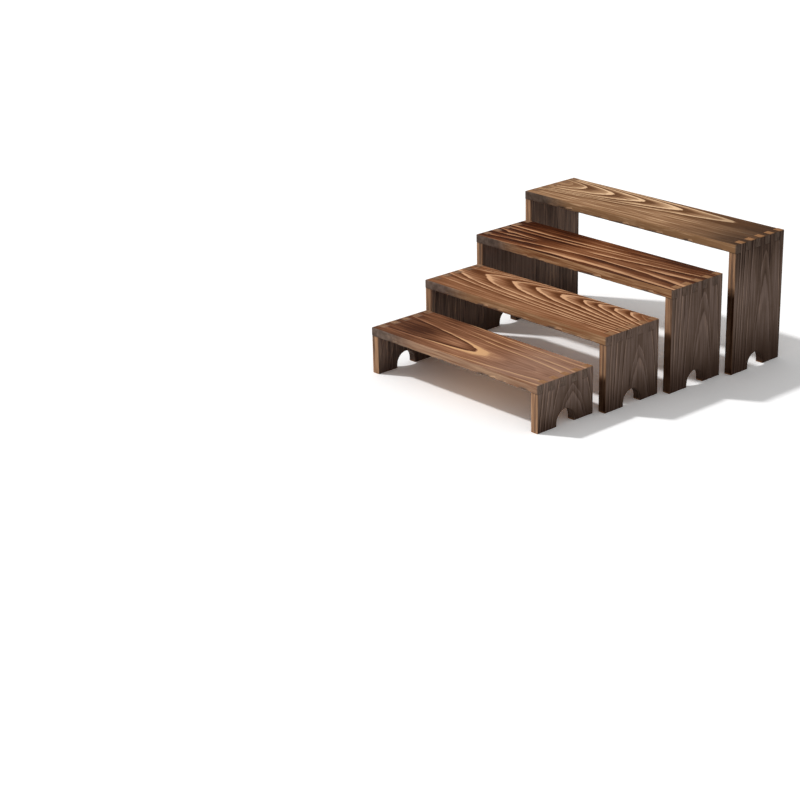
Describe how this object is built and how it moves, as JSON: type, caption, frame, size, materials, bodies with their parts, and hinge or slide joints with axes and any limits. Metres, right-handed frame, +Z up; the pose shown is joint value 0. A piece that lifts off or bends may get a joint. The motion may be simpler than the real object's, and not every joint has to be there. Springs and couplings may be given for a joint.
{
  "type": "nesting display riser set",
  "caption": "Stepped set of nesting wooden display risers with finger-jointed corners and arched feet, which slide under one another for storage.",
  "frame": {"origin": "on the ground, at the middle of the whole set as it is displayed", "axes": "+X along the boards to the right, +Y towards the tallest riser at the back, +Z up"},
  "size_m": [0.49, 0.544, 0.229],
  "materials": {
    "top_board_wood": "torched, brushed and oiled softwood, reddish brown with light grain lines",
    "side_board_wood": "torched, brushed and oiled softwood, dark brown with light grain lines"
  },
  "bodies": {
    "riser_4": {"riser_4_top": "top_board_wood", "riser_4_left_side": "side_board_wood", "riser_4_right_side": "side_board_wood"},
    "riser_3": {"riser_3_top": "top_board_wood", "riser_3_left_side": "side_board_wood", "riser_3_right_side": "side_board_wood"},
    "riser_2": {"riser_2_top": "top_board_wood", "riser_2_left_side": "side_board_wood", "riser_2_right_side": "side_board_wood"},
    "riser_1": {"riser_1_top": "top_board_wood", "riser_1_left_side": "side_board_wood", "riser_1_right_side": "side_board_wood"}
  },
  "joints": [
    {"name": "riser_3_slide", "type": "slide", "parent": "riser_4", "child": "riser_3", "axis": [0, 1, 0], "range_m": [0, 0.139]},
    {"name": "riser_2_slide", "type": "slide", "parent": "riser_4", "child": "riser_2", "axis": [0, 1, 0], "range_m": [0, 0.278]},
    {"name": "riser_1_slide", "type": "slide", "parent": "riser_4", "child": "riser_1", "axis": [0, 1, 0], "range_m": [0, 0.417]}
  ]
}
